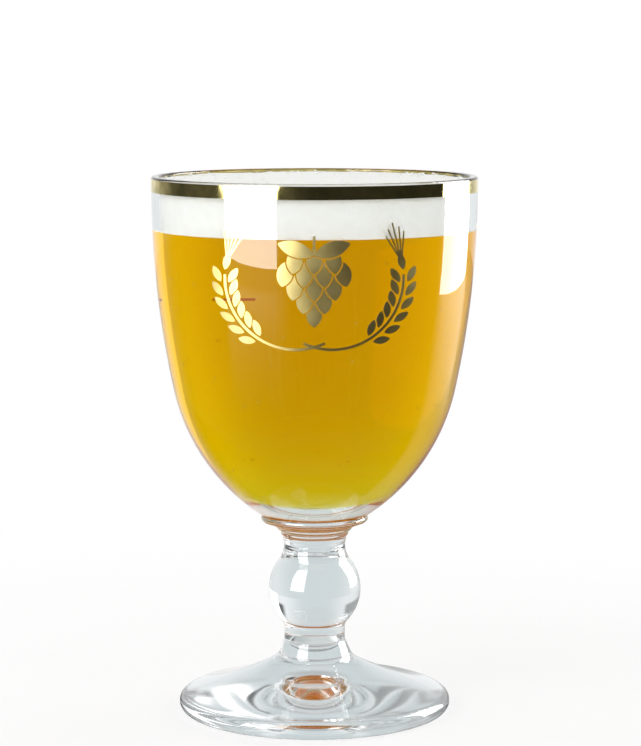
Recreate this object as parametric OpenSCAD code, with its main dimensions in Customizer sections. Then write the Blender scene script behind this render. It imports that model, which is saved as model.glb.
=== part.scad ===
// Chalice beer glass on a short knopped stem, gold at the rim and filled with beer.
// Millimetres, +Z up. The origin is on the axis, in the plane that the foot rests on.
// The front of the glass, with its printed wreath, faces -Y.

/* [Foot] */
// Diameter of the foot
foot_d = 76; // [66:1:88]
// Thickness of the foot's rounded edge
foot_edge_t = 5.2; // [4:0.2:7]
// Slope of the foot's top where it leaves the edge, in degrees
foot_edge_slope = 12.5; // [8:0.5:16]
// Radius of the hollow curve on top of the foot, seen in profile
foot_top_r = 90; // [70:5:160]
// Height of the hub that carries the stem
hub_h = 20; // [18:0.5:26]
// Lean of the hub's side, in degrees from upright
hub_lean = 24; // [18:1:30]
// Radius of the curve between the hub and the top of the foot
hub_flare_r = 5; // [3:0.5:7]
// Width of the flat ring that the foot stands on
rest_ring_w = 4.4; // [2:0.2:8]
// Slope of the hollow under the foot where it leaves that ring, in degrees
kick_slope = 13; // [8:1:16]
// Radius of the dome in the middle of the hollow
kick_dome_r = 36; // [24:1:48]
// Turn of that dome from the axis outwards, in degrees
kick_turn = 18; // [17:0.5:24]
// Radius of the curve between the dome and the slope
kick_fillet_r = 12; // [6:1:16]

/* [Stem] */
// Diameter of the collar on the hub
collar_d = 17; // [14:0.5:19]
// Straight length of the collar
collar_len = 3.3; // [1:0.1:8]
// Rounding of the two edges that meet at the seam between the hub and the collar
seam_r = 0.4; // [0.2:0.1:0.8]
// Radius of the curve between the collar and the knop
collar_fillet_r = 3.2; // [1:0.2:6]
// Diameter of the ball-shaped knop
knop_d = 25.8; // [22:0.2:32]
// Diameter of the neck above the knop
neck_d = 17.2; // [14:0.2:19]
// Radius of the curve between the knop and the neck
neck_fillet_r = 7; // [4:0.5:10]
// Straight length of the neck
neck_len = 0.2; // [0.1:0.1:6]
// Radius of the curve that flares from the neck to the flange
flare_r = 6.8; // [4:0.2:9]
// Turn of that curve, in degrees
flare_turn = 75; // [60:1:85]
// Flat land between the flare and the flange's rounded edge
flange_land = 0.3; // [0.1:0.1:2]
// Thickness of the flange that the bowl sits on
flange_t = 2; // [1.2:0.1:4]

/* [Bowl] */
// Height of the bowl above the flange
bowl_h = 94.5; // [88:0.5:110]
// Outside diameter at the rim
rim_d = 90; // [82:1:98]
// Thickness of the wall
wall_t = 2.2; // [1.6:0.1:3]
// Rounding of the lip's two edges
lip_r = 0.6; // [0.3:0.1:0.7]
// Radius of the upper side of the bowl, seen in profile
side_r = 260; // [220:5:340]
// Lean of the side where the belly starts, in degrees from upright
side_turn = 12.2; // [10:0.2:14]
// Thickness of the glass under the inside floor, on the axis
floor_t = 7; // [3:0.5:9]

/* [Gold] */
// Height of the gold band under the lip
band_h = 3.5; // [2:0.1:8]
// Upright wall left under the gold band
band_margin = 0.1; // [0:0.1:4]
// Thickness of the fired gold
gold_t = 0.1; // [0.05:0.01:0.2]
// Distance from the top of the rim down to the foot of the wreath
wreath_drop = 43.5; // [38:0.5:48]
// Radius of the curve that each barley ear follows
ear_r = 18.5; // [15:0.5:20]
// Distance from the middle of the wreath to the centre of that curve
ear_shift = 5; // [3:0.5:6]
// Width of the printed stalks
stalk_w = 0.7; // [0.4:0.1:1.2]
// Length of a barley grain
grain_len = 4.6; // [3:0.1:4.8]
// Width of a barley grain
grain_w = 2; // [1:0.1:2.2]
// Lean of a grain away from its stalk, in degrees
grain_lean = 30; // [15:1:35]
// Pairs of grains on an ear
grain_pairs = 6; // [4:1:8]
// Bare line between two grains, and between the grains and the stalk
grain_gap = 0.3; // [0.2:0.05:0.5]
// Length of the longest bristle at the tip of an ear
awn_len = 9; // [4:0.5:10]
// Width of a bristle
awn_w = 0.4; // [0.3:0.05:0.6]
// Bristles on an ear
awns = 5; // [3:2:7]
// Length of a hop bract
bract_len = 7; // [5:0.1:8]
// Width of a hop bract
bract_w = 4.2; // [3:0.1:5]
// Bare line between two bracts
bract_gap = 0.35; // [0.2:0.05:0.6]
// Lean of a bract for each step away from the middle of its row, in degrees
bract_lean = 9; // [4:1:12]
// Length of the two leaves on top of the hop cone
hop_leaf_len = 10; // [8:0.5:12]
// Width of those leaves
hop_leaf_w = 4.2; // [3:0.1:5]
// Distance from the foot of the wreath up to the tip of the hop cone
hop_rise = 6; // [4:0.5:9]
// Distance from the top of the rim down to the line on the back
line_drop = 34; // [25:0.5:50]
// Length of the line on the back
line_len = 6; // [4:1:30]
// Width of the line on the back
line_w = 0.6; // [0.4:0.1:1.5]
// Place of the line round the bowl, in degrees from the middle of the back
line_turn = 16; // [-60:1:60]

/* [Fill] */
// Distance from the top of the rim down to the beer
beer_drop = 14.3; // [10:0.1:30]
// Distance from the top of the rim down to the edge of the foam
foam_drop = 1; // [0.8:0.1:3.5]
// Rise of the foam towards the middle
foam_rise = 0.6; // [0.2:0.1:1.2]

/* [Hidden] */

// Largest distance between a chord and the arc that it stands for
arc_tol = 0.01;
round_fn = 128;
leaf_fn = 192;

// Foot
foot_r = foot_d / 2;
edge_r = foot_edge_t / 2;
edge_c = [foot_r - edge_r, edge_r];
slope_dir = [sin(foot_edge_slope), cos(foot_edge_slope)];
foot_top_c = edge_c + (edge_r + foot_top_r) * slope_dir;
collar_r = collar_d / 2;
hub_edge = [collar_r, hub_h];
hub_seam_c = [collar_r - seam_r * (1 - sin(hub_lean)) / cos(hub_lean), hub_h - seam_r];
collar_seam_c = [collar_r - seam_r, hub_h + seam_r];
lean_out = [cos(hub_lean), sin(hub_lean)];
lean_down = [sin(hub_lean), -cos(hub_lean)];
// The hub's flare touches the hub's side and, from within, the curve on top of the foot
flare_from = hub_edge + hub_flare_r * lean_out - foot_top_c;
flare_along = flare_from * lean_down;
flare_gap = flare_from * flare_from - (foot_top_r - hub_flare_r) ^ 2;
hub_flare_c = foot_top_c + flare_from + (sqrt(flare_along ^ 2 - flare_gap) - flare_along) * lean_down;
flare_meet = direction(foot_top_c, hub_flare_c);
rest_ring_r = foot_r - edge_r - rest_ring_w;
// The hollow under the foot slopes in from the ring, and a curve then lifts it into the dome
kick_slope_end_r = kick_dome_r * sin(kick_turn) + kick_fillet_r * (sin(kick_turn) - sin(kick_slope));
kick_slope_h = (rest_ring_r - kick_slope_end_r) * tan(kick_slope);
kick_fillet_h = kick_fillet_r * (cos(kick_slope) - cos(kick_turn));
kick_dome_c = [0, kick_slope_h + kick_fillet_h - kick_dome_r * cos(kick_turn)];
kick_fillet_c = kick_dome_c + (kick_dome_r + kick_fillet_r) * [sin(kick_turn), cos(kick_turn)];

// Stem, from the hub upwards
knop_r = knop_d / 2;
neck_r = neck_d / 2;
collar_fillet_c = [collar_r + collar_fillet_r, hub_h + collar_len];
knop_c = [0, collar_fillet_c.y + sqrt((knop_r + collar_fillet_r) ^ 2 - collar_fillet_c.x ^ 2)];
neck_fillet_x = neck_r + neck_fillet_r;
neck_fillet_c = [neck_fillet_x, knop_c.y + sqrt((knop_r + neck_fillet_r) ^ 2 - neck_fillet_x ^ 2)];
flare_c = [neck_r + flare_r, neck_fillet_c.y + neck_len];
flange_under = flare_c.y + flare_r * sin(flare_turn);
flange_edge_r = flange_t / 2;
flange_r = flare_c.x - flare_r * cos(flare_turn) + flange_land + flange_edge_r;
seat_z = flange_under + flange_t;

// Bowl, outside
glass_h = seat_z + bowl_h;
rim_r = rim_d / 2;
rim_straight_h = lip_r + band_h + band_margin;
side_z = glass_h - rim_straight_h;
side_c = [rim_r - side_r, side_z];
turn_dir = [cos(side_turn), -sin(side_turn)];
belly_top = side_c + side_r * turn_dir;
seat_edge = [flange_r, seat_z];
belly_chord = seat_edge - belly_top;
belly_r = -(belly_chord * belly_chord) / (2 * turn_dir * belly_chord);
belly_c = belly_top - belly_r * turn_dir;
belly_end = direction(belly_c, seat_edge);

// Bowl, inside: the wall keeps its thickness down to a round floor
inner_r = rim_r - wall_t;
inner_side_r = side_r - wall_t;
floor_z = seat_z + floor_t;
floor_depth = side_z - floor_z;
floor_r = (inner_side_r ^ 2 - side_c.x ^ 2 - floor_depth ^ 2) / (2 * (inner_side_r - floor_depth));
floor_c = [0, floor_z + floor_r];
floor_turn = direction(side_c, floor_c);

// Fill
beer_z = glass_h - beer_drop;
beer_turn = asin((beer_z - side_z) / inner_side_r);
foam_edge_z = glass_h - foam_drop;
foam_top_r = (inner_r ^ 2 + foam_rise ^ 2) / (2 * foam_rise);
foam_top_c = [0, foam_edge_z + foam_rise - foam_top_r];
foam_half = asin(inner_r / foam_top_r);
beer_wall = concat(arc(floor_c, floor_r, -90, floor_turn),
                   arc(side_c, inner_side_r, floor_turn, beer_turn, 1));
beer_edge = beer_wall[len(beer_wall) - 1];
foam_wall = concat(arc(side_c, inner_side_r, beer_turn, 0, 1), [[inner_r, foam_edge_z]]);

// Wreath, drawn flat with its foot at the origin
ear_c = [ear_shift, ear_r];
stalk_start = -115;
grain_start = -52;
tip_turn = 14;
grain_step = (tip_turn - grain_start) / grain_pairs;
grain_half = (grain_w * cos(grain_lean) + grain_len * sin(grain_lean)) / 2;
grain_tuck = 0.75;
grain_shift = stalk_w / 2 + grain_gap + grain_half * grain_tuck;
awn_start = grain_len / 3;
awn_spread = 9;
awn_shorter = 0.14;
bract_rows = [3, 4, 3, 2, 1];
bract_step = [bract_w + bract_gap, bract_len / 2];
hop_stalk_len = 5;
hop_leaf_lean = 72;
hop_leaf_drop = 2;
wreath_z = glass_h - wreath_drop;
line_z = glass_h - line_drop;

// Angle of the direction from one point to another
function direction(from, to) = atan2(to.y - from.y, to.x - from.x);

// Points along an arc, close enough together to stay within arc_tol of it
function arc_steps(r, sweep) = max(2, ceil(abs(sweep) / (2 * acos(1 - arc_tol / r))));
function arc(c, r, a0, a1, first = 0) =
    let (steps = arc_steps(r, a1 - a0))
    [for (i = [first:steps]) let (a = a0 + (a1 - a0) * i / steps) c + r * [cos(a), sin(a)]];

function reversed(list) = [for (i = [len(list) - 1:-1:0]) list[i]];

// A profile turned about the axis of the glass
module turned(profile) {
    rotate_extrude($fn = round_fn)
        polygon(profile);
}

module foot() {
    color("lightblue", 0.5)
        turned(concat(
            arc(kick_dome_c, kick_dome_r, 90, 90 - kick_turn),
            arc(kick_fillet_c, kick_fillet_r, 270 - kick_turn, 270 - kick_slope, 1),
            [[rest_ring_r, 0]],
            arc(edge_c, edge_r, -90, 90 - foot_edge_slope),
            arc(foot_top_c, foot_top_r, 270 - foot_edge_slope, flare_meet + 360, 1),
            arc(hub_flare_c, hub_flare_r, flare_meet + 360, 180 + hub_lean, 1),
            arc(hub_seam_c, seam_r, hub_lean, 90),
            [[0, hub_h]]));
}

module stem() {
    knop_low = direction(knop_c, collar_fillet_c);
    knop_high = direction(knop_c, neck_fillet_c);
    color("lightcyan", 0.5)
        turned(concat(
            [[0, hub_h]],
            arc(collar_seam_c, seam_r, -90, 0),
            arc(collar_fillet_c, collar_fillet_r, 180, 180 + knop_low),
            arc(knop_c, knop_r, knop_low, knop_high, 1),
            arc(neck_fillet_c, neck_fillet_r, 180 + knop_high, 180, 1),
            arc(flare_c, flare_r, 180, 180 - flare_turn),
            arc([flange_r - flange_edge_r, seat_z - flange_edge_r], flange_edge_r, -90, 90),
            [[0, seat_z]]));
}

module bowl() {
    lip_z = glass_h - lip_r;
    color("azure", 0.4)
        turned(concat(
            [[0, seat_z]],
            arc(belly_c, belly_r, belly_end, -side_turn),
            arc(side_c, side_r, -side_turn, 0, 1),
            arc([rim_r - lip_r, lip_z], lip_r, 0, 90),
            arc([inner_r + lip_r, lip_z], lip_r, 90, 180),
            reversed(foam_wall),
            reversed(beer_wall)));
}

module rim_band() {
    color("gold")
        translate([0, 0, glass_h - lip_r - band_h])
            rotate_extrude($fn = round_fn)
                translate([rim_r, 0])
                    square([gold_t, band_h]);
}

// The layer of gold that lies on the side of the bowl
module gold_layer() {
    turned(concat(
        arc(side_c, side_r, -side_turn, 0),
        reversed(arc(side_c, side_r + gold_t, -side_turn, 0))));
}

// A flat drawing laid on the side of the bowl, with its origin at height z on the front
module printed(z) {
    intersection() {
        gold_layer();
        translate([0, 0, z])
            rotate([90, 0, 0])
                linear_extrude(height = rim_d)
                    children();
    }
}

// Leaf shape between two equal arcs, along Y
module leaf(length, w) {
    r = (length ^ 2 + w ^ 2) / (4 * w);
    intersection() {
        translate([r - w / 2, 0])
            circle(r = r, $fn = leaf_fn);
        translate([w / 2 - r, 0])
            circle(r = r, $fn = leaf_fn);
    }
}

// Places its children on the ear's curve, with Y along the curve
module on_ear(turn) {
    translate(ear_c + ear_r * [cos(turn), sin(turn)])
        rotate(turn)
            children();
}

// One grain of a pair, counted from the foot of the ear
module grain(i, side, grow = 0) {
    on_ear(grain_start + i * grain_step)
        translate([side * grain_shift, 0])
            rotate(-side * grain_lean)
                leaf(grain_len + grow, grain_w + grow);
}

// Each grain tucks behind the one below it, with a bare line between them
module barley_ear() {
    polygon(concat(
        arc(ear_c, ear_r + stalk_w / 2, stalk_start, tip_turn - grain_step),
        reversed(arc(ear_c, ear_r - stalk_w / 2, stalk_start, tip_turn - grain_step))));
    for (i = [0:grain_pairs - 1], side = [-1, 1])
        difference() {
            grain(i, side);
            if (i > 0)
                grain(i - 1, side, 2 * grain_gap);
        }
    on_ear(tip_turn)
        leaf(grain_len, grain_w);
    for (i = [0:awns - 1])
        let (place = i - (awns - 1) / 2, length = awn_len * (1 - awn_shorter * abs(place)))
            on_ear(tip_turn)
                rotate(-place * awn_spread)
                    translate([-awn_w / 2, awn_start])
                        square([awn_w, length]);
}

// One row of bracts that hang from their upper ends, counted from the top of the hop cone
module bract_row(row, grow = 0) {
    count = bract_rows[row];
    for (i = [0:count - 1])
        let (place = i - (count - 1) / 2)
            translate([place * bract_step.x, bract_len / 2 - row * bract_step.y])
                rotate(place * bract_lean)
                    translate([0, -bract_len / 2])
                        leaf(bract_len + grow, bract_w + grow);
}

// The pair of leaves that covers the upper ends of the first row
module hop_leaves(grow = 0) {
    translate([0, bract_len / 2 - hop_leaf_drop])
        for (side = [-1, 1])
            rotate(side * hop_leaf_lean)
                translate([0, hop_leaf_len / 2])
                    leaf(hop_leaf_len + grow, hop_leaf_w + grow);
}

// Each row tucks under what lies above it, with a bare line between them
module hop_cone() {
    for (row = [0:len(bract_rows) - 1])
        difference() {
            bract_row(row);
            if (row > 0)
                bract_row(row - 1, 2 * bract_gap);
            hop_leaves(2 * bract_gap);
        }
    hop_leaves();
    translate([-stalk_w / 2, bract_len / 2 - hop_leaf_drop])
        square([stalk_w, hop_stalk_len]);
}

module barley_print() {
    color("goldenrod")
        printed(wreath_z) {
            barley_ear();
            mirror([1, 0])
                barley_ear();
            translate([0, hop_rise + bract_len / 2 + (len(bract_rows) - 1) * bract_step.y])
                hop_cone();
        }
}

module fill_line() {
    color("darkgoldenrod")
        rotate(180 + line_turn)
            printed(line_z)
                square([line_len, line_w], center = true);
}

module beer() {
    color("orange", 0.8)
        turned(concat(beer_wall, [[0, beer_z]]));
}

module foam_head() {
    color("ivory")
        turned(concat(
            [[0, beer_z], beer_edge],
            foam_wall,
            arc(foam_top_c, foam_top_r, 90 - foam_half, 90, 1)));
}

foot();
stem();
bowl();
rim_band();
barley_print();
fill_line();
beer();
foam_head();
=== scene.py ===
# %% [markdown]
# # A filled beer chalice
# The object is a short-stemmed chalice for strong beer: a round bowl, a stem with a ball knop, a wide
# foot, a band of fired gold under the lip, a gold print, golden beer and a head of foam. The packed
# solids are the frame, and this lesson gives each of them its looks. Glass is all about light paths, so
# the lesson spends its time on true surfaces, on what touches what, and on the studio that the glass
# shows.

# %% Load the frame
import math
import random

import bmesh
import bpy
import numpy as np
from mathutils import Matrix, Vector, noise


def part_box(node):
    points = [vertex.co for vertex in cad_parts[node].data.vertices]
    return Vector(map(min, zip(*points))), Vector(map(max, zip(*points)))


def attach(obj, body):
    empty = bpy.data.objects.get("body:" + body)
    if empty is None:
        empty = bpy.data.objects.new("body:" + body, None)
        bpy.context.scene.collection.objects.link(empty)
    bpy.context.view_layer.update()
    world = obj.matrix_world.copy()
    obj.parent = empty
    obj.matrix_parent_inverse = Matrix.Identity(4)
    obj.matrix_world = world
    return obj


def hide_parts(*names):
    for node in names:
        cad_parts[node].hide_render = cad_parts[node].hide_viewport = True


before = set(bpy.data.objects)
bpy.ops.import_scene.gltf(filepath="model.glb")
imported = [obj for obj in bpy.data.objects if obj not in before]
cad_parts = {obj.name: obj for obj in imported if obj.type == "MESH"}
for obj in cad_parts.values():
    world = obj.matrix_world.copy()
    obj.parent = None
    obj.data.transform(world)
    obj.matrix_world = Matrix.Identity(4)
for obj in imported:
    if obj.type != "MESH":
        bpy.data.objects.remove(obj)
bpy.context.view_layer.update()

MM = 0.001

# %% [markdown]
# ## Sizes
# What the frame can tell is read from the frame: a node's box gives its height and its largest radius.
# The radii of the curves between those places can't be read from a box, so they are written down here,
# each once, in metres. Slopes and turns are in degrees.

# %% Sizes read from the frame
foot_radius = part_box("foot")[1].x
hub_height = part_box("foot")[1].z
flange_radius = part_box("stem")[1].x
seat_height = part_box("bowl")[0].z
rim_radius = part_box("bowl")[1].x
glass_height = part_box("bowl")[1].z
inner_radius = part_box("foam_head")[1].x
floor_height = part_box("beer")[0].z
beer_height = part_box("beer")[1].z
foam_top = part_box("foam_head")[1].z
band_low, band_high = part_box("rim_band")[0].z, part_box("rim_band")[1].z
wall = rim_radius - inner_radius
print(f"wall {wall / MM:.2f} mm, beer up to {beer_height / MM:.1f} mm, foam up to {foam_top / MM:.1f} mm")

# %% Radii of the turned profile
foot_edge_radius = 2.6 * MM
foot_edge_slope = 12.5
foot_top_radius = 90 * MM
hub_lean = 24
hub_flare_radius = 5 * MM
rest_ring_width = 4.4 * MM
kick_slope = 13
kick_dome_radius = 36 * MM
kick_turn = 18
kick_fillet = 12 * MM
collar_radius = 8.5 * MM
seam_radius = 0.4 * MM
collar_length = 3.3 * MM
collar_fillet = 3.2 * MM
knop_radius = 12.9 * MM
neck_radius = 8.6 * MM
neck_fillet = 7 * MM
neck_length = 0.2 * MM
flare_radius = 6.8 * MM
flare_turn = 75
flange_thickness = 2 * MM
lip_radius = 0.6 * MM
side_radius = 260 * MM
side_turn = 12.2
band_margin = 0.1 * MM
foam_rise = 0.6 * MM
print(f"knop {2 * knop_radius / MM:.1f} mm across, on a foot {2 * foot_radius / MM:.1f} mm across")

# %% [markdown]
# ## Arcs
# Stemware is turned, so the outline of each piece of glass is a chain of arcs, and each arc touches the
# next one. A curve object could hold them, but points that are computed follow the radii exactly. Every
# arc is cut fine, because refraction shows each facet.

# %% Arcs
TURN_STEP = math.radians(3)
CHORD = 0.8 * MM


def at(radius, height):
    return np.array((radius, height))


def direction(start, end):
    along = end - start
    return math.degrees(math.atan2(along[1], along[0]))


def toward(turn):
    return at(math.cos(math.radians(turn)), math.sin(math.radians(turn)))


def arc(centre, radius, start, end):
    sweep = math.radians(end - start)
    steps = max(2, math.ceil(abs(sweep) / TURN_STEP), math.ceil(abs(sweep) * radius / CHORD))
    return [centre + radius * toward(start + (end - start) * i / steps) for i in range(steps + 1)]


print("points on a quarter of the knop:", len(arc(at(0, 0), knop_radius, 0, 90)))

# %% [markdown]
# ## Lathe
# A Screw modifier could spin an outline about the axis. A small function of our own can also name a
# finish for each stretch of the outline, and it keeps the poles on the axis as single points. Where the
# outline turns a corner, the edge is marked sharp, so that smooth shading doesn't round it off.

# %% Outline to mesh
SEGMENTS = 256
TINY = 1e-7


def outline_of(stretches):
    """Joins stretches of (points, finish) into one outline and says which finish ends at each point."""
    outline, finishes = [], []
    for points, finish in stretches:
        for point in points:
            if not outline or np.linalg.norm(point - outline[-1]) > TINY:
                outline.append(point)
                finishes.append(finish)
    return np.array(outline), finishes


def spun_points(outline, ring):
    """Spins each point of the outline: all the vertices, and a row of their numbers for each point."""
    angles = np.arange(SEGMENTS) * 2 * math.pi / SEGMENTS
    spin = np.stack([np.cos(angles), np.sin(angles)], 1)
    vertices, rows = [], []
    for i, (radius, height) in enumerate(outline):
        if ring and i == len(outline) - 1:
            rows.append(rows[0])
        elif radius < TINY:
            rows.append([len(vertices)] * SEGMENTS)
            vertices.append((0, 0, height))
        else:
            rows.append(list(range(len(vertices), len(vertices) + SEGMENTS)))
            vertices += [(radius * x, radius * y, height) for x, y in spin]
    return vertices, rows


def spun_faces(rows, finishes):
    """The faces between each row and the next, and the finish of each face."""
    faces, slots = [], []
    for i in range(len(rows) - 1):
        low, high = rows[i], rows[i + 1]
        for j in range(SEGMENTS):
            k = (j + 1) % SEGMENTS
            corners = list(dict.fromkeys([low[j], low[k], high[k], high[j]]))
            if len(corners) > 2:
                faces.append(corners)
                slots.append(finishes[i + 1])
    return faces, slots


print("steps round a turned piece:", SEGMENTS)

# %% Lathe
SHARP_TURN = math.radians(25)


def mark_sharp(mesh, outline, rows):
    """Keeps a crease where the outline turns a corner."""
    steps = np.diff(outline, axis=0)
    turns = np.unwrap(np.arctan2(steps[:, 1], steps[:, 0]))
    corners = [i + 1 for i in range(len(turns) - 1) if abs(turns[i + 1] - turns[i]) > SHARP_TURN]
    creased = {point: i for i in corners for point in rows[i]}
    for edge in mesh.edges:
        a, b = edge.vertices
        if a in creased and creased.get(a) == creased.get(b):
            edge.use_edge_sharp = True


def placed(name, data):
    """A new object in the scene."""
    piece = bpy.data.objects.new(name, data)
    bpy.context.scene.collection.objects.link(piece)
    return piece


def turned(name, stretches, materials, ring=False):
    """Spins an outline about Z. A ring closes on itself, and anything else starts and ends on the axis."""
    outline, finishes = outline_of(stretches)
    if ring:
        outline, finishes = np.vstack([outline, outline[:1]]), finishes + finishes[:1]
    vertices, rows = spun_points(outline, ring)
    faces, slots = spun_faces(rows, finishes)
    mesh = bpy.data.meshes.new(name)
    mesh.from_pydata(vertices, [], faces)
    for material in materials:
        mesh.materials.append(material)
    mesh.polygons.foreach_set("material_index", slots)
    mesh.polygons.foreach_set("use_smooth", [True] * len(faces))
    mark_sharp(mesh, outline, rows)
    mesh.update()
    print(f"{name}: {len(vertices)} points, {len(faces)} faces")
    return placed(name, mesh)


print("a corner is sharp from a turn of", round(math.degrees(SHARP_TURN)), "degrees")

# %% [markdown]
# ## Shared surface effects
# Two effects come back in several finishes. Glass and fired gold both follow a slow ripple from the
# mould, and almost every surface has a fine unevenness that shows in its gloss or its tint. They could
# be drawn anew in each material. As node groups with named inputs they are built once, and a finish
# only chooses how fine and how strong they are.


# %% Node helpers
def add(tree, kind, **values):
    """A new node, with its properties or its input values set by name."""
    node = tree.nodes.new(kind)
    for name, value in values.items():
        if hasattr(node, name):
            setattr(node, name, value)
        else:
            node.inputs[name.replace("_", " ").title()].default_value = value
    return node


def effect(name, inputs, outputs):
    """An empty shader node group with the named sockets, and its two end nodes."""
    tree = bpy.data.node_groups.new(name, "ShaderNodeTree")
    for label, value in inputs.items():
        socket = tree.interface.new_socket(label, in_out="INPUT", socket_type="NodeSocketFloat")
        socket.default_value = value
    for label in outputs:
        tree.interface.new_socket(label, in_out="OUTPUT", socket_type="NodeSocketFloat")
    return tree, tree.nodes.new("NodeGroupInput"), tree.nodes.new("NodeGroupOutput")


print("helpers:", add.__name__, effect.__name__)

# %% Ripple and unevenness
NOISE_LOW, NOISE_HIGH = 0.3, 0.7


def mould_ripple_group():
    """Height of the slow ripple that a mould leaves in glass."""
    tree, start, end = effect("mould_ripple", {"Scale": 60.0}, ["Height"])
    place = add(tree, "ShaderNodeTexCoord")
    ripple = add(tree, "ShaderNodeTexNoise", detail=1.0)
    tree.links.new(place.outputs["Object"], ripple.inputs["Vector"])
    tree.links.new(start.outputs["Scale"], ripple.inputs["Scale"])
    tree.links.new(ripple.outputs["Fac"], end.inputs["Height"])
    return tree


def fine_unevenness_group():
    """A value between Low and High that wanders over the surface, for gloss and tint."""
    tree, start, end = effect("fine_unevenness", {"Scale": 200.0, "Low": 0.0, "High": 1.0}, ["Value"])
    place = add(tree, "ShaderNodeTexCoord")
    grain = add(tree, "ShaderNodeTexNoise", detail=4.0)
    spread = add(tree, "ShaderNodeMapRange", from_min=NOISE_LOW, from_max=NOISE_HIGH)
    tree.links.new(place.outputs["Object"], grain.inputs["Vector"])
    tree.links.new(start.outputs["Scale"], grain.inputs["Scale"])
    tree.links.new(grain.outputs["Fac"], spread.inputs["Value"])
    tree.links.new(start.outputs["Low"], spread.inputs["To Min"])
    tree.links.new(start.outputs["High"], spread.inputs["To Max"])
    tree.links.new(spread.outputs["Result"], end.inputs["Value"])
    return tree


mould_ripple = mould_ripple_group()
fine_unevenness = fine_unevenness_group()
print("groups:", mould_ripple.name, fine_unevenness.name)


# %% Effects placed in a finish
def finish(name):
    """A new material, its tree and its Principled shader."""
    material = bpy.data.materials.new(name)
    material.use_nodes = True
    return material, material.node_tree, material.node_tree.nodes["Principled BSDF"]


def place_group(tree, group, **values):
    node = tree.nodes.new("ShaderNodeGroup")
    node.node_tree = group
    for label, value in values.items():
        node.inputs[label].default_value = value
    return node


def drive_roughness(tree, shader, scale, gloss):
    """Lets the roughness wander between the two values of a gloss."""
    grain = place_group(tree, fine_unevenness, Scale=scale, Low=gloss[0], High=gloss[1])
    tree.links.new(grain.outputs["Value"], shader.inputs["Roughness"])


def drive_tint(tree, shader, scale, first, second):
    """Lets the colour wander between two tints."""
    grain = place_group(tree, fine_unevenness, Scale=scale, Low=0.0, High=1.0)
    tint = add(tree, "ShaderNodeMixRGB", color1=first, color2=second)
    tree.links.new(grain.outputs["Value"], tint.inputs["Fac"])
    tree.links.new(tint.outputs["Color"], shader.inputs["Base Color"])


def drive_bump(tree, shader, height, strength, depth):
    """Shades the surface as if a height stood out of it by a depth in metres."""
    bump = add(tree, "ShaderNodeBump", strength=strength, distance=depth)
    tree.links.new(height, bump.inputs["Height"])
    tree.links.new(bump.outputs["Normal"], shader.inputs["Normal"])


def drive_ripple(tree, shader, scale, strength):
    ripple = place_group(tree, mould_ripple, Scale=scale)
    drive_bump(tree, shader, ripple.outputs["Height"], strength, MM)


print("a finish can vary in roughness, tint, bump and ripple")

# %% [markdown]
# ## Clear glass, wetted glass and weld faces
# A renderer bends a ray by the surface alone, with no memory of what it came from. So each surface is
# told what lies on its far side. Where glass meets air it has the index of glass. Where beer wets it
# the index is that of glass over beer, and the beer itself then bends nothing. Where foot, stem and
# bowl are fused there is no surface for light at all: those flat faces close the meshes, and are fully
# see-through. The bowl is blown and its skin is nearly perfect. Foot and stem are pressed, which leaves
# theirs a little softer.

# %% Glass finishes
GLASS_INDEX = 1.52
BEER_INDEX = 1.345
GLASS_TINT = (0.985, 0.995, 0.99, 1)
GLASS_GRAIN = 90
GLASS_RIPPLE = 45
GLASS_RIPPLE_STRENGTH = 0.03
BLOWN_GLOSS = (0.0, 0.012)
PRESSED_GLOSS = (0.035, 0.06)
WELD_GLOSS = (0.2, 0.3)


def glass_finish(name, index, gloss):
    material, tree, shader = finish(name)
    shader.inputs["Base Color"].default_value = GLASS_TINT
    shader.inputs["Transmission Weight"].default_value = 1
    shader.inputs["IOR"].default_value = index
    drive_roughness(tree, shader, GLASS_GRAIN, gloss)
    drive_ripple(tree, shader, GLASS_RIPPLE, GLASS_RIPPLE_STRENGTH)
    return material


def weld_finish():
    material, tree, shader = finish("fused_joint")
    shader.inputs["Alpha"].default_value = 0
    shader.inputs["Transmission Weight"].default_value = 0
    drive_roughness(tree, shader, GLASS_GRAIN, WELD_GLOSS)
    return material


blown_glass = glass_finish("blown_glass", GLASS_INDEX, BLOWN_GLOSS)
pressed_glass = glass_finish("pressed_glass", GLASS_INDEX, PRESSED_GLOSS)
wetted_glass = glass_finish("wetted_glass", GLASS_INDEX / BEER_INDEX, BLOWN_GLOSS)
fused_joint = weld_finish()
BLOWN_SLOTS = [blown_glass, fused_joint, wetted_glass]
PRESSED_SLOTS = [pressed_glass, fused_joint]
CLEAR, FUSED, WET = range(3)
print("glass over beer:", round(GLASS_INDEX / BEER_INDEX, 3))

# %% [markdown]
# ## Foot
# The foot is a disc with a hollow-curved top, a rounded edge and a short leaning hub. It stands on a
# narrow ring, because a flat underside would rock, and inside that ring it slopes up to a low dome. A
# plain dome would do to stand on, but slope and dome together are what throws the colour of the beer
# back up to the eye, as the amber spot in front of the hub. The hub's flare touches both the hub's side
# and the curve of the top.


# %% Foot profile
def hollow_points(ring):
    """The hollow under the foot: a dome on the axis, then a curve and a slope down to the ring."""
    dome_end, slope_end = toward(90 - kick_turn), toward(90 - kick_slope)
    from_dome = kick_dome_radius * dome_end + kick_fillet * (dome_end - slope_end)
    slope_height = (ring - from_dome[0]) * math.tan(math.radians(kick_slope))
    dome = at(0, slope_height - from_dome[1])
    fillet = dome + (kick_dome_radius + kick_fillet) * dome_end
    points = arc(dome, kick_dome_radius, 90, 90 - kick_turn)
    points += arc(fillet, kick_fillet, 270 - kick_turn, 270 - kick_slope)
    return points + [at(ring, 0)]


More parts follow.
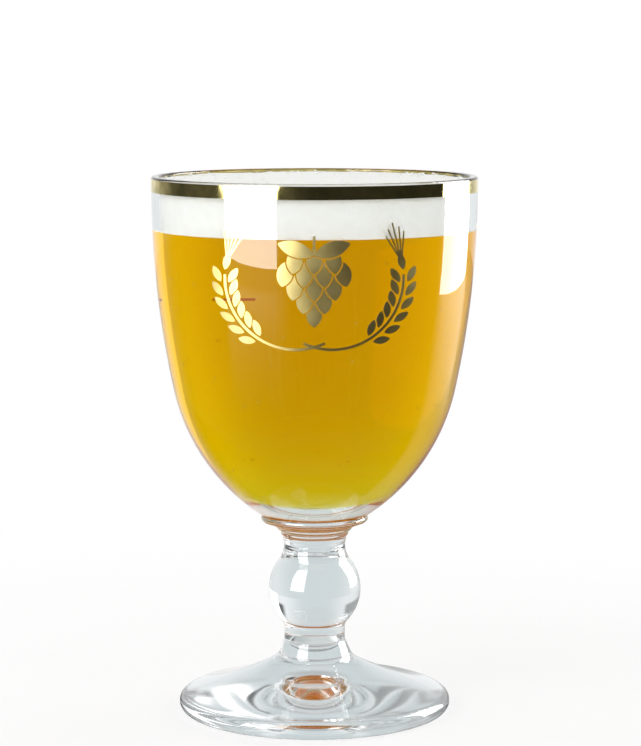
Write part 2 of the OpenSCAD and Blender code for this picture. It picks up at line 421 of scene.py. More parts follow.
def foot_stretches():
    edge = at(foot_radius - foot_edge_radius, foot_edge_radius)
    slope = at(math.sin(math.radians(foot_edge_slope)), math.cos(math.radians(foot_edge_slope)))
    top = edge + (foot_edge_radius + foot_top_radius) * slope
    hub_edge = at(collar_radius, hub_height)
    lean_out = toward(hub_lean)
    lean_down = at(lean_out[1], -lean_out[0])
    from_top = hub_edge + hub_flare_radius * lean_out - top
    along = from_top @ lean_down
    gap = from_top @ from_top - (foot_top_radius - hub_flare_radius) ** 2
    flare = top + from_top + (math.sqrt(along**2 - gap) - along) * lean_down
    meet = direction(top, flare) + 360
    seam = at(collar_radius - seam_radius * (1 - lean_out[1]) / lean_out[0], hub_height - seam_radius)
    return [
        (hollow_points(foot_radius - foot_edge_radius - rest_ring_width), CLEAR),
        (arc(edge, foot_edge_radius, -90, 90 - foot_edge_slope), CLEAR),
        (arc(top, foot_top_radius, 270 - foot_edge_slope, meet), CLEAR),
        (arc(flare, hub_flare_radius, meet, 180 + hub_lean), CLEAR),
        (arc(seam, seam_radius, hub_lean, 90), CLEAR),
        ([at(collar_radius - seam_radius, hub_height)], CLEAR),
        ([at(0, hub_height)], FUSED),
    ]


foot = turned("foot_glass", foot_stretches(), PRESSED_SLOTS)
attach(foot, "root")
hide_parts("foot")

# %% [markdown]
# ## Stem
# The stem is a collar, a ball knop, a waist and a flange under the bowl. Arcs that touch each other
# make it, and the knop's own centre follows from them: it lies where the ball just touches the collar's
# fillet. The press leaves faint rings in the flare under the flange. A bump could draw them, but glass
# shows a ring by bending what lies behind it, so they are part of the profile.

# %% Stem profile
RING_COUNT = 5
RING_DEPTH = 0.07 * MM
RING_STEPS = 20


def ringed_flare(centre):
    """The flare from the neck to the flange, with the faint rings of the press."""
    steps = RING_COUNT * RING_STEPS
    waves = [RING_DEPTH * math.sin(2 * math.pi * i / RING_STEPS) for i in range(steps + 1)]
    turns = [180 - flare_turn * i / steps for i in range(steps + 1)]
    return [centre + (flare_radius + wave) * toward(turn) for wave, turn in zip(waves, turns)]


def stem_stretches():
    collar = at(collar_radius + collar_fillet, hub_height + collar_length)
    knop = at(0, collar[1] + math.sqrt((knop_radius + collar_fillet) ** 2 - collar[0] ** 2))
    neck_x = neck_radius + neck_fillet
    neck = at(neck_x, knop[1] + math.sqrt((knop_radius + neck_fillet) ** 2 - neck_x**2))
    flare = at(neck_radius + flare_radius, neck[1] + neck_length)
    flange_edge = flange_thickness / 2
    edge = at(flange_radius - flange_edge, seat_height - flange_edge)
    seam = at(collar_radius - seam_radius, hub_height + seam_radius)
    low, high = direction(knop, collar), direction(knop, neck)
    return [
        ([at(0, hub_height), at(seam[0], hub_height)], FUSED),
        (arc(seam, seam_radius, -90, 0), CLEAR),
        (arc(collar, collar_fillet, 180, 180 + low), CLEAR),
        (arc(knop, knop_radius, low, high), CLEAR),
        (arc(neck, neck_fillet, 180 + high, 180), CLEAR),
        (ringed_flare(flare), CLEAR),
        (arc(edge, flange_edge, -90, 90), CLEAR),
        ([at(0, seat_height)], FUSED),
    ]


stem = turned("stem_glass", stem_stretches(), PRESSED_SLOTS)
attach(stem, "root")
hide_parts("stem")

# %% [markdown]
# ## Bowl
# The bowl's side leans in slowly, then turns into the belly and meets the flange. A Solidify modifier
# could give an outer skin its wall, but such a bowl isn't even: the wall keeps its thickness down the
# side and then runs into a round floor, so the glass is thick only at the bottom. So both faces are
# drawn. The inner wall is wetted below the beer line, and the joint with the stem is fused.

# %% Inner wall
side_start = band_low - band_margin
side_centre = at(rim_radius - side_radius, side_start)
inner_side_radius = side_radius - wall


def floor_curve():
    """Radius and centre of the round inside floor, which touches the inner side."""
    depth = side_start - floor_height
    radius = (inner_side_radius**2 - side_centre[0] ** 2 - depth**2) / (2 * (inner_side_radius - depth))
    return radius, at(0, floor_height + radius)


floor_radius, floor_centre = floor_curve()
floor_turn = direction(side_centre, floor_centre)
beer_turn = math.degrees(math.asin((beer_height - side_start) / inner_side_radius))


def inner_wall(inset, turn):
    """The inner wall from the middle of the floor up to a turn on the side, moved in by an inset."""
    return arc(floor_centre, floor_radius - inset, -90, floor_turn) + arc(
        side_centre, inner_side_radius - inset, floor_turn, turn
    )


print(f"round floor of {floor_radius / MM:.1f} mm radius")


# %% Bowl profile
def bowl_stretches():
    seat = at(flange_radius, seat_height)
    turn = toward(-side_turn)
    belly_top = side_centre + side_radius * turn
    chord = seat - belly_top
    belly_radius = -(chord @ chord) / (2 * (turn @ chord))
    belly = belly_top - belly_radius * turn
    lip = glass_height - lip_radius
    weld_radius = flange_radius - flange_thickness / 2
    return [
        ([at(0, seat_height), at(weld_radius, seat_height)], FUSED),
        (arc(belly, belly_radius, direction(belly, seat), -side_turn), CLEAR),
        (arc(side_centre, side_radius, -side_turn, 0), CLEAR),
        (arc(at(rim_radius - lip_radius, lip), lip_radius, 0, 90), CLEAR),
        (arc(at(inner_radius + lip_radius, lip), lip_radius, 90, 180), CLEAR),
        (arc(side_centre, inner_side_radius, 0, beer_turn), CLEAR),
        (inner_wall(0, beer_turn)[::-1], WET),
    ]


bowl = turned("bowl_glass", bowl_stretches(), BLOWN_SLOTS)
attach(bowl, "root")
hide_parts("bowl")

# %% [markdown]
# ## Beer
# Beer gets its colour by depth: blue light is gone after a few millimetres, red passes nearly all the
# way. So the colour is a Volume Absorption in the body of the beer, not paint on its surface, and the
# thin edge comes out pale and the middle deep gold, as in a real glass. The body reaches a hair into
# the wall, so that no empty film is left between them.

# %% Beer body
OVERLAP = 0.03 * MM
WHITE = (1, 1, 1, 1)
UNBENT_INDEX = 1
BEER_COLOUR = (0.9968, 0.972, 0.0, 1)
BEER_DENSITY = 400
BEER_GRAIN = 60
BEER_GLOSS = (0.0, 0.01)


def beer_finish():
    material, tree, shader = finish("golden_beer")
    shader.inputs["Transmission Weight"].default_value = 1
    shader.inputs["IOR"].default_value = UNBENT_INDEX
    shader.inputs["Base Color"].default_value = WHITE
    drive_roughness(tree, shader, BEER_GRAIN, BEER_GLOSS)
    depth = add(tree, "ShaderNodeVolumeAbsorption", density=BEER_DENSITY)
    depth.inputs["Color"].default_value = BEER_COLOUR
    tree.links.new(depth.outputs[0], tree.nodes["Material Output"].inputs["Volume"])
    return material


golden_beer = beer_finish()
beer = turned(
    "beer_body",
    [(inner_wall(-OVERLAP, beer_turn), 0), ([at(0, beer_height)], 0)],
    [golden_beer],
)
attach(beer, "root")
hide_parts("beer")

# %% [markdown]
# ## Foam
# The head is a dense, fine foam that the beer has settled under. Its wall is pressed against the glass,
# and its top is a soft skin with low swells and small burst bubbles. A bump could draw the swells, but
# the skin is seen at a low angle, where a bump has no outline, so they are real geometry from a fixed
# noise. The fine bubble pattern is bump on top of it.

# %% Foam finish
FOAM_WHITE = (0.93, 0.935, 0.91, 1)
FOAM_CREAM = (0.89, 0.89, 0.85, 1)
FOAM_SPECK = 400
FOAM_CELLS = 1400.0
FOAM_CELL_STRENGTH = 0.35
FOAM_CELL_DEPTH = 0.2 * MM
FOAM_GRAIN = 300
FOAM_GLOSS = (0.6, 0.9)


def foam_finish():
    material, tree, shader = finish("white_foam")
    place = add(tree, "ShaderNodeTexCoord")
    cells = add(tree, "ShaderNodeTexVoronoi", scale=FOAM_CELLS)
    tree.links.new(place.outputs["Object"], cells.inputs["Vector"])
    drive_tint(tree, shader, FOAM_SPECK, FOAM_WHITE, FOAM_CREAM)
    drive_bump(tree, shader, cells.outputs["Distance"], FOAM_CELL_STRENGTH, FOAM_CELL_DEPTH)
    drive_roughness(tree, shader, FOAM_GRAIN, FOAM_GLOSS)
    return material


white_foam = foam_finish()
print("bubble cells on a metre of foam:", round(FOAM_CELLS))

# %% Foam head
FOAM_DIP = 0.3 * MM
FOAM_FILM = 0.03 * MM
FOAM_RINGS = 72
FOAM_SWELL = 0.25 * MM
FOAM_SWELL_SIZE = 7 * MM
SWELL_FALL, SWELL_STEP, SWELL_OCTAVES = 0.6, 2.0, 4
SKIN_MARGIN = 0.001 * MM
foam_edge_height = foam_top - foam_rise


def foam_stretches():
    reach = inner_radius - FOAM_FILM
    low = beer_height - FOAM_DIP
    low_turn = math.degrees(math.asin((low - side_start) / inner_side_radius))
    side = arc(side_centre, inner_side_radius - FOAM_FILM, low_turn, 0)
    top = [at(reach * (1 - i / FOAM_RINGS), foam_edge_height) for i in range(FOAM_RINGS + 1)]
    return [([at(0, low)] + side + top, 0)]


def foam_height(x, y):
    """Height of the foam's skin: a crown in the middle, and low swells."""
    crown = (foam_top - foam_edge_height) * (1 - (x * x + y * y) / inner_radius**2)
    place = Vector((x, y, 0)) / FOAM_SWELL_SIZE
    lift = noise.fractal(place, SWELL_FALL, SWELL_STEP, SWELL_OCTAVES)
    return foam_edge_height + crown + FOAM_SWELL * lift


def swell(piece):
    """Lifts the flat top of the foam to the height of its skin."""
    for vertex in piece.data.vertices:
        x, y, z = vertex.co
        if z > foam_edge_height - SKIN_MARGIN:
            vertex.co.z = foam_height(x, y)
    piece.data.update()


foam = turned("foam_crown", foam_stretches(), [white_foam])
swell(foam)
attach(foam, "root")
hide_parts("foam_head")

# %% [markdown]
# ## Bubbles
# A poured beer keeps some bubbles. A few cling to the inner wall, wherever the glass is a little rough,
# and larger ones stand on the head as clear domes, most of them near the glass. Particles could scatter
# them, but balls in one mesh are simpler to place and to export. A seeded chooser places them, so the
# lesson makes the same glass every time. The ones in the beer stay just off the wall, and the ones on
# the head are sunk by a third of their size.

# %% Bubble finish and places
BUBBLE_GRAIN = 400
BUBBLE_GLOSS = (0.0, 0.04)
WALL_GAP = 0.08 * MM
WALL_SIZES = (0.14, 0.42, 0.2)
SKIN_SIZES = (0.15, 0.55, 0.2)
FLOOR_CLEAR = 8 * MM
TOP_CLEAR = 4 * MM
RIM_CLEAR = 1.2 * MM
LIFT_DIVISOR = 3


def bubble_finish():
    material, tree, shader = finish("thin_bubble")
    shader.inputs["Base Color"].default_value = WHITE
    shader.inputs["Transmission Weight"].default_value = 1
    shader.inputs["IOR"].default_value = BEER_INDEX
    drive_roughness(tree, shader, BUBBLE_GRAIN, BUBBLE_GLOSS)
    return material


def inner_radius_at(height, inset):
    """Radius of the inner wall at a height, moved in by an inset."""
    if height > floor_centre[1] + floor_radius * toward(floor_turn)[1]:
        return side_centre[0] + math.sqrt((inner_side_radius - inset) ** 2 - (height - side_start) ** 2)
    return math.sqrt((floor_radius - inset) ** 2 - (height - floor_centre[1]) ** 2)


def wall_bubble(chooser):
    """Middle and radius of one bubble on the inner wall."""
    radius = chooser.triangular(*WALL_SIZES) * MM
    height = chooser.uniform(floor_height + FLOOR_CLEAR, beer_height - TOP_CLEAR)
    turn = chooser.uniform(0, 2 * math.pi)
    reach = inner_radius_at(height, radius + WALL_GAP)
    return Vector((reach * math.cos(turn), reach * math.sin(turn), height)), radius


def skin_bubble(chooser):
    """Middle and radius of one dome on the head."""
    radius = chooser.triangular(*SKIN_SIZES) * MM
    reach = (inner_radius - RIM_CLEAR) * math.sqrt(chooser.triangular(0, 1, 1))
    turn = chooser.uniform(0, 2 * math.pi)
    x, y = reach * math.cos(turn), reach * math.sin(turn)
    return Vector((x, y, foam_height(x, y) + radius / LIFT_DIVISOR)), radius


thin_bubble = bubble_finish()
print("a bubble in mm, at least, at most and mostly:", WALL_SIZES)

# %% Bubbles
BUBBLE_SEED = 11
BEER_BUBBLES = 120
FOAM_BUBBLES = 160
BALL_SPLITS = 3


def bubbles(name, count, place):
    chooser = random.Random(BUBBLE_SEED)
    build = bmesh.new()
    for _ in range(count):
        middle, radius = place(chooser)
        there = Matrix.Translation(middle)
        bmesh.ops.create_icosphere(build, subdivisions=BALL_SPLITS, radius=radius, matrix=there)
    mesh = bpy.data.meshes.new(name)
    build.to_mesh(mesh)
    build.free()
    mesh.polygons.foreach_set("use_smooth", [True] * len(mesh.polygons))
    mesh.materials.append(thin_bubble)
    piece = placed(name, mesh)
    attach(piece, "root")
    print(f"{name}: {count} bubbles")


bubbles("beer_bubbles", BEER_BUBBLES, wall_bubble)
bubbles("foam_bubbles", FOAM_BUBBLES, skin_bubble)

# %% [markdown]
# ## Gold
# Fired gold is a metal film a few thousandths of a millimetre thick. It mirrors the room, so most of it
# looks dark, and only the lamps and the white backdrop flare up in it. The band is painted on, bright,
# with duller patches, and it is a turned ring here. The print is laid on as a paste and stays satin. It
# keeps the outline of its solids, but each front corner takes the normal of the bowl's own curve, so
# that the flat facets of the solid don't break the reflections. Both are sunk a hair into the glass.

# %% Gold finishes
GOLD_BRIGHT = (0.95, 0.79, 0.33, 1)
BAND_DULL = (0.56, 0.5, 0.19, 1)
PRINT_DULL = (0.88, 0.68, 0.24, 1)
GOLD_PATCH = 240
GOLD_GRAIN = 150
GOLD_RIPPLE = 120
BAND_GLOSS = (0.05, 0.12)
PRINT_GLOSS = (0.34, 0.44)
BAND_RIPPLE_STRENGTH = 0.35
PRINT_RIPPLE_STRENGTH = 0.06


def gold_finish(name, dull, gloss, ripple):
    material, tree, shader = finish(name)
    shader.inputs["Metallic"].default_value = 1
    drive_tint(tree, shader, GOLD_PATCH, GOLD_BRIGHT, dull)
    drive_roughness(tree, shader, GOLD_GRAIN, gloss)
    drive_ripple(tree, shader, GOLD_RIPPLE, ripple)
    return material


fired_gold = gold_finish("fired_gold", BAND_DULL, BAND_GLOSS, BAND_RIPPLE_STRENGTH)
printed_gold = gold_finish("printed_gold", PRINT_DULL, PRINT_GLOSS, PRINT_RIPPLE_STRENGTH)
print("gold:", fired_gold.name, printed_gold.name)

# %% Rim band
GOLD_SINK = 0.04 * MM
band_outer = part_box("rim_band")[1].x
band_inner = rim_radius - GOLD_SINK
band_corners = [
    at(band_inner, band_low),
    at(band_outer, band_low),
    at(band_outer, band_high),
    at(band_inner, band_high),
]
rim_band = turned("rim_band_gold", [(band_corners, 0)], [fired_gold], ring=True)
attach(rim_band, "root")
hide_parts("rim_band")

# %% Printed gold
FRONT_LEAN = 0.8


def side_of_bowl(height):
    """Radius of the bowl's outside at a height on the upper side, and its outward normal as (r, z)."""
    rise = (height - side_centre[1]) / side_radius
    normal = at(math.sqrt(1 - rise**2), rise)
    return side_centre[0] + side_radius * normal[0], normal


def printed(name, node):
    """A copy of a printed node, sunk into the glass and shaded as the bowl's own curve."""
    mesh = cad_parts[node].data.copy()
    mesh.name = name
    mesh.materials.clear()
    mesh.materials.append(printed_gold)
    normals = []
    for vertex in mesh.vertices:
        x, y, z = vertex.co
        radius = math.hypot(x, y)
        surface, normal = side_of_bowl(z)
        normals.append(Vector((x / radius * normal[0], y / radius * normal[0], normal[1])))
        if radius - surface < GOLD_SINK:
            vertex.co = vertex.co - normals[-1] * GOLD_SINK
    corner_normals = []
    for face in mesh.polygons:
        for corner in face.vertices:
            lean = face.normal.dot(normals[corner])
            shaded = normals[corner] * math.copysign(1, lean) if abs(lean) > FRONT_LEAN else face.normal
            corner_normals.append(shaded.copy())
    mesh.normals_split_custom_set(corner_normals)
    piece = placed(name, mesh)
    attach(piece, "root")
    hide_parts(node)
    print(f"{name}: {len(mesh.polygons)} faces")


printed("barley_wreath_gold", "barley_print")
printed("fill_line_gold", "fill_line")

# %% [markdown]
# ## Studio
# The glass stands on a pale table. Two softboxes stand there too: their mirror images in the bowl, one
# strip on the left and one near the right edge, tell where they stood. A photographer sets white and
# dark cards until every edge of a glass reads. Here the table and the world do that. Light Path tells
# them how a ray came, and they show each kind of ray what it needs. First come the sums that their node
# trees are made of.

# %% Sums on node values
MIX_SOCKETS = {"FLOAT": (2, 0), "RGBA": (6, 2)}


def fill(tree, socket, value):
    """Feeds a socket from another socket, or sets a plain value on it."""
    if isinstance(value, bpy.types.NodeSocket):
        tree.links.new(value, socket)
    else:
        socket.default_value = value


def join(tree, operation, first, second, clamp=False):
    """One sum on two values, each a socket or a plain number."""
    node = add(tree, "ShaderNodeMath", operation=operation, use_clamp=clamp)
    fill(tree, node.inputs[0], first)
    fill(tree, node.inputs[1], second)
    return node.outputs[0]


def product(tree, *values):
    """Several values multiplied together."""
    result = values[0]
    for value in values[1:]:
        result = join(tree, "MULTIPLY", result, value)
    return result


def choose(tree, mask, off, on, kind="FLOAT"):
    """The off value, or the on value where the mask is 1."""
    node = add(tree, "ShaderNodeMix", data_type=kind)
    first, result = MIX_SOCKETS[kind]
    fill(tree, node.inputs[0], mask)
    fill(tree, node.inputs[first], off)
    fill(tree, node.inputs[first + 1], on)
    return node.outputs[result]


def span(tree, value, low, high, start, end):
    """Goes softly from start to end while the value goes from low to high."""
    node = add(tree, "ShaderNodeMapRange", interpolation_type="SMOOTHSTEP")
    for label, number in (("From Min", low), ("From Max", high), ("To Min", start), ("To Max", end)):
        node.inputs[label].default_value = number
    tree.links.new(value, node.inputs["Value"])
    return node.outputs["Result"]


print("sums:", join.__name__, product.__name__, choose.__name__, span.__name__)


# %% Kinds of ray
def bounced(tree, ray):
    """1 for a ray that has left a matt surface, through glass or not."""
    return join(tree, "MINIMUM", ray.outputs["Diffuse Depth"], 1)


def straight_through(tree, ray):
    """1 for a ray that comes from the eye through glass, and not from a matt surface."""
    return join(tree, "SUBTRACT", ray.outputs["Is Transmission Ray"], bounced(tree, ray), clamp=True)


def behind_glass(tree, ray):
    """1 for a ray that has left a matt surface and then gone through glass."""
    return join(tree, "MULTIPLY", ray.outputs["Is Transmission Ray"], bounced(tree, ray))


def mirrored_only(tree, ray):
    """1 for a ray that a mirror or a gloss has thrown back, and that hasn't gone through glass since."""
    glossy, through = ray.outputs["Is Glossy Ray"], ray.outputs["Is Transmission Ray"]
    return join(tree, "SUBTRACT", glossy, through, clamp=True)


print("rays told apart: bounced, straight through, behind glass, mirrored only")

# %% [markdown]
# ## Table
# To the camera the table is almost white and keeps the shadow of the glass. A mirror sees it dark, but
# for pale patches of painted light: one before each softbox, one at the back, where the table runs into
# the backdrop, and a faint one round the foot. Through glass the table has the tones of the backdrop,
# grey in the middle and nearly white at the sides. There a painted shadow darkens it under the front of
# the foot, and painted shade darkens it further in the bowl's mirror image of the foot. Lamps for the
# patches would light the foam as well, so they are drawn in the table's own paint.

# %% Table patches
LEFT_PATCH = 0.6
RIGHT_PATCH = 0.8
BACK_PATCH = 0.85
BACK_PATCH_AT_RIGHT = 0.42
FOOT_PATCH = 0.08


def lit_patches(tree, side, reach):
    """How bright a mirror sees the table: each span is one edge of a patch, by side or by reach."""
    # Painted light: pale patches before each softbox and at the back, where a mirror sees the table.
    left = product(
        tree,
        span(tree, side["Y"], -0.97, -0.87, 0, 1),
        span(tree, side["Y"], -0.5, -0.4, 1, 0),
        span(tree, side["X"], -0.2, -0.1, 1, 0),
        span(tree, reach, 0.17, 0.5, 0, LEFT_PATCH),
    )
    right = product(
        tree,
        span(tree, side["Y"], 0.08, 0.4, 0, 1),
        span(tree, side["Y"], 0.7, 0.8, 1, 0),
        span(tree, side["X"], 0.2, 0.4, 0, 1),
        span(tree, reach, 0.17, 0.5, 0, RIGHT_PATCH),
    )
    back = product(
        tree,
        span(tree, side["Y"], 0.1, 0.25, 0, BACK_PATCH),
        span(tree, side["X"], -0.92, -0.5, 0, 1),
        span(tree, side["X"], 0.0, 0.4, 1, BACK_PATCH_AT_RIGHT),
    )
    # Painted light: a faint pale patch round the foot, where a mirror sees the table.
    near = span(tree, reach, 0.035, 0.13, FOOT_PATCH, 0.0)
    return join(tree, "ADD", join(tree, "ADD", left, right), join(tree, "ADD", back, near))


print("patches left, right, back and foot:", LEFT_PATCH, RIGHT_PATCH, BACK_PATCH, FOOT_PATCH)

# %% Table tones
BLACK = (0, 0, 0, 1)
BACKDROP_GREY = (0.66, 0.72, 0.74, 1)
SIDE_WHITE = (0.86, 0.89, 0.9, 1)
TABLE_PAINT = (0.88, 0.88, 0.88, 1)
TABLE_SPECK = (0.86, 0.86, 0.86, 1)
TABLE_GRAIN = 30
# Painted shadow under the foot, front and back, and painted shade in the bowl's mirror image of the foot:
# both dim the table's glow seen through glass.
PAINTED_SHADOW_FRONT, PAINTED_SHADOW_BACK = 0.38, 0.95
FOOT_IMAGE_PAINTED_SHADE = 0.8


def table_places(tree):
    """Side of a point as a direction from the axis, its reach from the axis, and its depth along Y."""
    place = add(tree, "ShaderNodeTexCoord")
    aside = add(tree, "ShaderNodeVectorMath", operation="NORMALIZE")
    split = add(tree, "ShaderNodeSeparateXYZ")
    distance = add(tree, "ShaderNodeVectorMath", operation="LENGTH")
    tree.links.new(place.outputs["Object"], aside.inputs[0])
    tree.links.new(place.outputs["Object"], distance.inputs[0])
    tree.links.new(aside.outputs["Vector"], split.inputs[0])
    side, reach = split.outputs, distance.outputs["Value"]
    return side, reach, join(tree, "MULTIPLY", side["Y"], reach)


def table_paint(tree, ray, side, reach):
    """The table's paint, or its lit patches where a mirror sees it."""
    grain = place_group(tree, fine_unevenness, Scale=TABLE_GRAIN, Low=0.0, High=1.0)
    paint = choose(tree, grain.outputs["Value"], TABLE_PAINT, TABLE_SPECK, "RGBA")
    patches = choose(tree, lit_patches(tree, side, reach), BLACK, WHITE, "RGBA")
    return choose(tree, mirrored_only(tree, ray), paint, patches, "RGBA")


def table_tone(tree, through, side):
    """White to the camera, and the backdrop's tones through glass."""
    across = join(tree, "ABSOLUTE", side["X"], 0)
    backdrop = choose(tree, span(tree, across, 0.25, 0.8, 0, 1), BACKDROP_GREY, SIDE_WHITE, "RGBA")
    return choose(tree, through, WHITE, backdrop, "RGBA")


def table_level(tree, ray, through, reach, depth):
    """Full strength, but through glass a painted shadow under the foot, and painted shade in its mirror
    image.
    """
    # Painted shadow: the glow seen through glass is dimmed under the front of the foot.
    shade = span(tree, depth, -0.015, 0.01, PAINTED_SHADOW_FRONT, PAINTED_SHADOW_BACK)
    under = choose(tree, span(tree, reach, 0.026, 0.046, 0, 1), shade, 1.0)
    # Painted shade: after a glossy bounce the glow is dimmed further where the bowl mirrors the foot.
    foot_image_painted_shade = product(
        tree,
        span(tree, ray.outputs["Glossy Depth"], 0.2, 0.8, 0.0, FOOT_IMAGE_PAINTED_SHADE),
        span(tree, reach, 0.034, 0.044, 1.0, 0.0),
        span(tree, depth, -0.012, 0.0, 1.0, 0.0),
    )
    under = product(tree, under, join(tree, "SUBTRACT", 1, foot_image_painted_shade))
    return choose(tree, through, 1.0, under)


print("table under the foot, front and back:", PAINTED_SHADOW_FRONT, PAINTED_SHADOW_BACK)

# %% Table
FLOOR_RADIUS = 1.2
FLOOR_GAP = 0.2 * MM
TABLE_ROUGHNESS = 0.6
SHADOW_SHARE = 0.75


def table_finish():
    material, tree, shader = finish("pale_table")
    ray = add(tree, "ShaderNodeLightPath")
    side, reach, depth = table_places(tree)
    through = straight_through(tree, ray)
    tree.links.new(table_paint(tree, ray, side, reach), shader.inputs["Base Color"])
    shader.inputs["Roughness"].default_value = TABLE_ROUGHNESS
    shader.inputs["Specular IOR Level"].default_value = 0
    white = add(tree, "ShaderNodeEmission")
    tree.links.new(table_tone(tree, through, side), white.inputs["Color"])
    tree.links.new(table_level(tree, ray, through, reach, depth), white.inputs["Strength"])
    seen = join(tree, "MAXIMUM", ray.outputs["Is Camera Ray"], through)
    share = choose(tree, through, span(tree, reach, 0.06, 0.3, SHADOW_SHARE, 1), 1.0)
    blend = add(tree, "ShaderNodeMixShader")
    tree.links.new(join(tree, "MULTIPLY", seen, share), blend.inputs["Fac"])
    tree.links.new(shader.outputs[0], blend.inputs[1])
    tree.links.new(white.outputs[0], blend.inputs[2])
    tree.links.new(blend.outputs[0], tree.nodes["Material Output"].inputs["Surface"])
    return material


def table_disc():
    mesh = bpy.data.meshes.new("table")
    angles = [2 * math.pi * i / SEGMENTS for i in range(SEGMENTS)]
    ring = [(FLOOR_RADIUS * math.cos(a), FLOOR_RADIUS * math.sin(a), -FLOOR_GAP) for a in angles]
    mesh.from_pydata(ring, [], [list(range(SEGMENTS))])
    mesh.materials.append(table_finish())
    table = placed("table", mesh)
    return table


table = table_disc()
print(f"{table.name}: radius {FLOOR_RADIUS} m")

# %% [markdown]
# ## Softboxes
# A softbox is a lamp behind a white cloth. An area light alone has one brightness for all, but here the
# mirror images are to be brighter than the light on matt surfaces, and the view through glass dimmer.
# So each softbox is two things in one place: a lamp that lights matt surfaces, unseen by mirrors and
# glass, and a sheet that shows in them at levels of its own. The sheet also lights what is matt and
# behind glass, such as the foam.


# %% Softbox sheet
def sheet_finish(name, light, mirrored, through):
    """White cloth with one level for mirrors, one through glass and one for matt surfaces."""
    material = bpy.data.materials.new(name)
    material.use_nodes = True
    tree = material.node_tree
    tree.nodes.remove(tree.nodes["Principled BSDF"])
    ray = add(tree, "ShaderNodeLightPath")
    glow = add(tree, "ShaderNodeEmission")
    level = choose(tree, ray.outputs["Is Transmission Ray"], mirrored, through)
    level = choose(tree, bounced(tree, ray), level, light)
    tree.links.new(level, glow.inputs["Strength"])
    tree.links.new(glow.outputs[0], tree.nodes["Material Output"].inputs["Surface"])
    return material


def softbox_sheet(name, size, material):
    """The white sheet of a softbox, which shows only in glass and metal."""
    half_w, half_h = size[0] / 2, size[1] / 2
    mesh = bpy.data.meshes.new(name)
    corners = [(-half_w, -half_h, 0), (half_w, -half_h, 0), (half_w, half_h, 0), (-half_w, half_h, 0)]
    mesh.from_pydata(corners, [], [(3, 2, 1, 0)])
    mesh.materials.append(material)
    sheet = placed(name, mesh)
    sheet.visible_camera = sheet.visible_diffuse = sheet.visible_shadow = False
    return sheet


print("a sheet shows in glass and metal only")


# %% Softboxes
def softbox(name, foot_a, foot_b, lift, height, light, mirrored, through):
    """A soft light that stands upright between two points of the table and looks at the glass."""
    a, b = Vector((*foot_a, lift)), Vector((*foot_b, lift))
    middle = (a + b) / 2 + Vector((0, 0, height / 2))
    facing = (b - a).cross(Vector((0, 0, 1)))
    if facing.dot(-middle) < 0:
        facing.negate()
    lamp = bpy.data.lights.new(name, "AREA")
    lamp.shape = "RECTANGLE"
    lamp.size, lamp.size_y = (b - a).length, height
    lamp.energy = light * math.pi * lamp.size * lamp.size_y
    holder = placed(name, lamp)
    holder.visible_camera = holder.visible_glossy = holder.visible_transmission = False
    cloth = sheet_finish(name + "_sheet", light, mirrored, through)
    sheet = softbox_sheet(name + "_sheet", (lamp.size, lamp.size_y), cloth)
    for part in (holder, sheet):
        part.location = middle
        part.rotation_mode = "QUATERNION"
        part.rotation_quaternion = facing.to_track_quat("-Z", "Y")
    print(f"{name}: {lamp.size:.2f} by {lamp.size_y:.2f} m, {lamp.energy:.1f} W")


softbox(
    "softbox_left", (-0.204, -0.437), (-0.542, -0.279),
    lift=0.03, height=0.64, light=3.3, mirrored=10, through=2,
)
softbox(
    "softbox_right", (0.567, 0.100), (0.600, 0.643),
    lift=0.0, height=0.67, light=2.5, mirrored=10, through=1.6,
)

# %% [markdown]
# ## World
# The world is the room round the table. To the camera it is plain white. A mirror sees it bright behind
# the glass and dark on the camera's side, which gives gold its dark middle. Through glass it is the
# backdrop, with a darker patch at each side for rays that have passed solid glass only: those make the
# crescents in the ball knop. Matt surfaces get a plain light from it, and a stronger one behind glass,
# where the lamps don't reach.

# %% World levels
MATT_LOW, MATT_HIGH = 1.0, 0.6
INDOORS_LOW, INDOORS_HIGH = 3.4, 1.5
INDOORS_LEFT, INDOORS_RIGHT = 1.08, 0.82
MIRROR_POWER = 3
LEFT_GLOW = 0.06
DARK_LEFT, DARK_RIGHT = 0.6, 0.9
RIGHT_GAIN = 1.07


def mirrored_level(tree, across, back, up):
    """Bright behind the glass up to a height, with a faint glow low on the left."""
    behind = join(tree, "POWER", span(tree, back, 0.3, 1.05, 0.3, 1.0), MIRROR_POWER)
    behind = product(tree, behind, span(tree, up, 0.35, 0.7, 1.0, 0.15))
    glow = product(tree, span(tree, across, -0.5, 0.0, LEFT_GLOW, 0.0), span(tree, up, -0.1, 0.4, 1.0, 0.0))
    return join(tree, "ADD", behind, glow)


def dark_sides(tree, ray, across, up):
    """How dark the low sides of the room are to rays that have passed solid glass only."""
    left = span(tree, across, -0.62, -0.5, DARK_LEFT, 0.0)
    right = span(tree, across, 0.5, 0.62, 0.0, DARK_RIGHT)
    return product(
        tree,
        join(tree, "ADD", left, right),
        span(tree, up, 0.1, 0.18, 0.0, 1.0),
        span(tree, up, 0.36, 0.5, 1.0, 0.2),
        span(tree, ray.outputs["Transmission Depth"], 2.2, 2.8, 1.0, 0.0),
    )


def through_level(tree, ray, across, back, up):
    """The backdrop as glass and beer show it."""
    return product(
        tree,
        span(tree, back, -0.2, 0.7, 0.85, 1.0),
        span(tree, up, 0.45, 0.8, 1.0, 0.75),
        span(tree, across, 0.05, 0.4, 1.0, RIGHT_GAIN),
        join(tree, "SUBTRACT", 1, dark_sides(tree, ray, across, up)),
    )


print("dark sides, left and right:", DARK_LEFT, DARK_RIGHT)


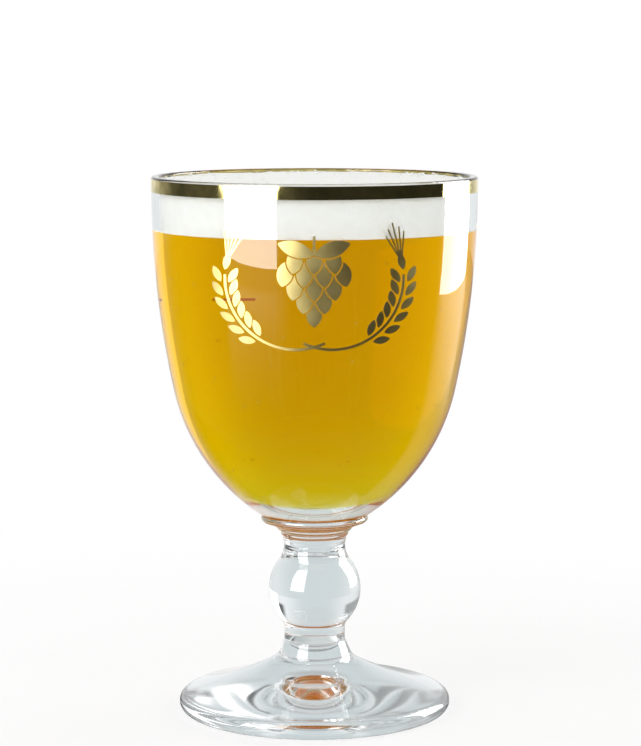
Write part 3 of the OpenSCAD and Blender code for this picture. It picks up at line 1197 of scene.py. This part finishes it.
# %% World
def world_studio():
    world = bpy.data.worlds.new("studio")
    world.use_nodes = True
    bpy.context.scene.world = world
    tree = world.node_tree
    ray = add(tree, "ShaderNodeLightPath")
    place = add(tree, "ShaderNodeTexCoord")
    split = add(tree, "ShaderNodeSeparateXYZ")
    tree.links.new(place.outputs["Generated"], split.inputs[0])
    across, back, up = (split.outputs[axis] for axis in "XYZ")
    matt = span(tree, up, 0.0, 0.9, MATT_LOW, MATT_HIGH)
    indoors = product(
        tree,
        span(tree, up, 0.0, 0.9, INDOORS_LOW, INDOORS_HIGH),
        span(tree, across, -0.7, 0.7, INDOORS_LEFT, INDOORS_RIGHT),
    )
    level = choose(tree, ray.outputs["Is Glossy Ray"], matt, mirrored_level(tree, across, back, up))
    through = through_level(tree, ray, across, back, up)
    level = choose(tree, ray.outputs["Is Transmission Ray"], level, through)
    level = choose(tree, bounced(tree, ray), level, matt)
    level = choose(tree, behind_glass(tree, ray), level, indoors)
    level = choose(tree, ray.outputs["Is Camera Ray"], level, 1.0)
    aside = join(tree, "ABSOLUTE", across, 0)
    backdrop = choose(tree, span(tree, aside, 0.15, 0.6, 0, 1), BACKDROP_GREY, SIDE_WHITE, "RGBA")
    tone = choose(tree, straight_through(tree, ray), WHITE, backdrop, "RGBA")
    tree.links.new(level, tree.nodes["Background"].inputs["Strength"])
    tree.links.new(tone, tree.nodes["Background"].inputs["Color"])
    print(f"{world.name}: {len(tree.nodes)} nodes")


world_studio()

# %% [markdown]
# ## Camera
# The ellipses of the rim and the foot give the height and the distance of the camera, and the width of
# the rim then gives its lens. It looks down by about seven degrees, through a long lens. A ray through
# a filled glass crosses many faces, so the paths are allowed to be long.

# %% Camera and colour
IMAGE_LONG_SIDE = 746
SENSOR_WIDTH = 36
FOCAL_PIXELS = 2669.9
CAMERA_DISTANCE = 0.7372
CAMERA_HEIGHT = 0.1871
CAMERA_SIDE = 0.00166
CAMERA_PITCH = 7.11
NEAREST = 0.01

lens = bpy.data.cameras.new("photo_camera")
lens.sensor_width = SENSOR_WIDTH
lens.lens = lens.sensor_width * FOCAL_PIXELS / IMAGE_LONG_SIDE
lens.clip_start = NEAREST
camera = placed("photo_camera", lens)
camera.location = (CAMERA_SIDE, -CAMERA_DISTANCE, CAMERA_HEIGHT)
camera.rotation_euler = (math.radians(90 - CAMERA_PITCH), 0, 0)
bpy.context.scene.camera = camera

scene = bpy.context.scene
scene.view_settings.view_transform = "Standard"
scene.cycles.max_bounces = 32
scene.cycles.transmission_bounces = 32
scene.cycles.glossy_bounces = 16
scene.cycles.transparent_max_bounces = 64
print(f"lens {lens.lens:.1f} mm")
